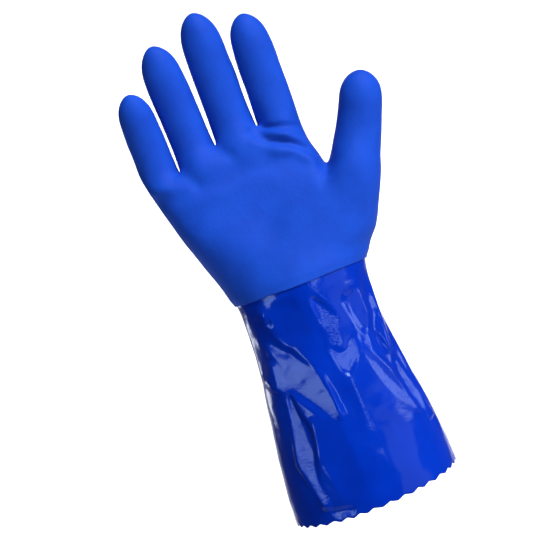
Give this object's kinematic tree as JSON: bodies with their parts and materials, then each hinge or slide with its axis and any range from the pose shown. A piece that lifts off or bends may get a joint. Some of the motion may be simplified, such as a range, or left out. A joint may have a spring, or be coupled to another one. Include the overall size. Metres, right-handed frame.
{
  "type": "pvc coated gauntlet work glove",
  "caption": "Right-hand gauntlet work glove: glossy PVC cuff with a pinked hem and a matt sandy PVC coating over palm, fingers and thumb.",
  "frame": {"origin": "middle of the cuff's mouth, at the hem's height at its sides, where the forearm goes in", "axes": "+Z from the cuff's mouth to the fingertips, -Y out of the palm, +X to the thumb's side"},
  "size_m": [0.1519, 0.086, 0.3063],
  "materials": {
    "hand_pvc": "sandy matt PVC coating",
    "gauntlet_pvc": "smooth wet-look PVC coating"
  },
  "bodies": {
    "root": {"hand": "hand_pvc", "gauntlet": "gauntlet_pvc"}
  },
  "joints": []
}
